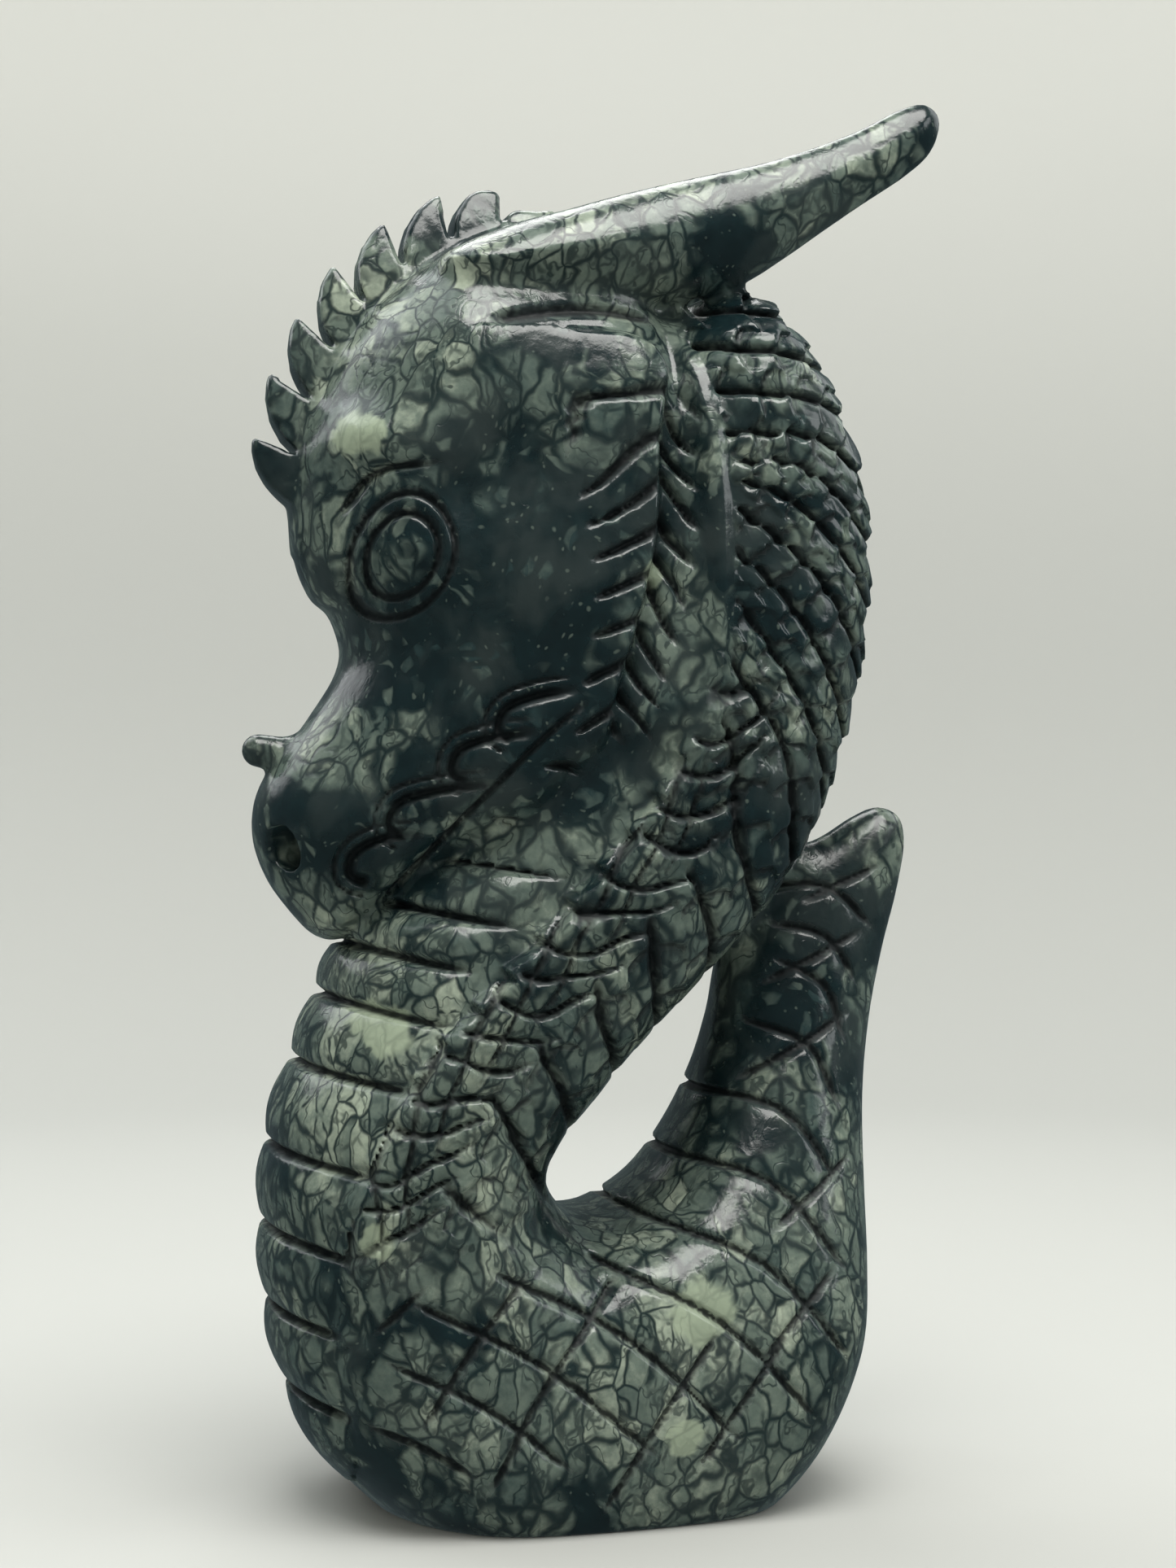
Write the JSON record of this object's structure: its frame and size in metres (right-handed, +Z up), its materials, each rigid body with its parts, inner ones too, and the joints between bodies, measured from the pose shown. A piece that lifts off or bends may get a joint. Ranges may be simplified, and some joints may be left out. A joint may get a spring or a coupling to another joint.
{
  "type": "dragon carving",
  "caption": "Polished green jasper carving of an upright dragon with crest, horns, scaled neck, plated chest and curled tail, standing on its flat base.",
  "frame": {"origin": "on the floor, under the centre of the carving's box", "axes": "+Z up from floor to horn tips; the nose points to -X and the tail to +X; the two flanks mirror each other in Y"},
  "size_m": [0.0988, 0.0592, 0.1999],
  "materials": {
    "jasper": "polished dark green jasper with paler grey-green clasts and fine dark veins"
  },
  "bodies": {
    "root": {"dragon_carving": "jasper"}
  },
  "joints": []
}
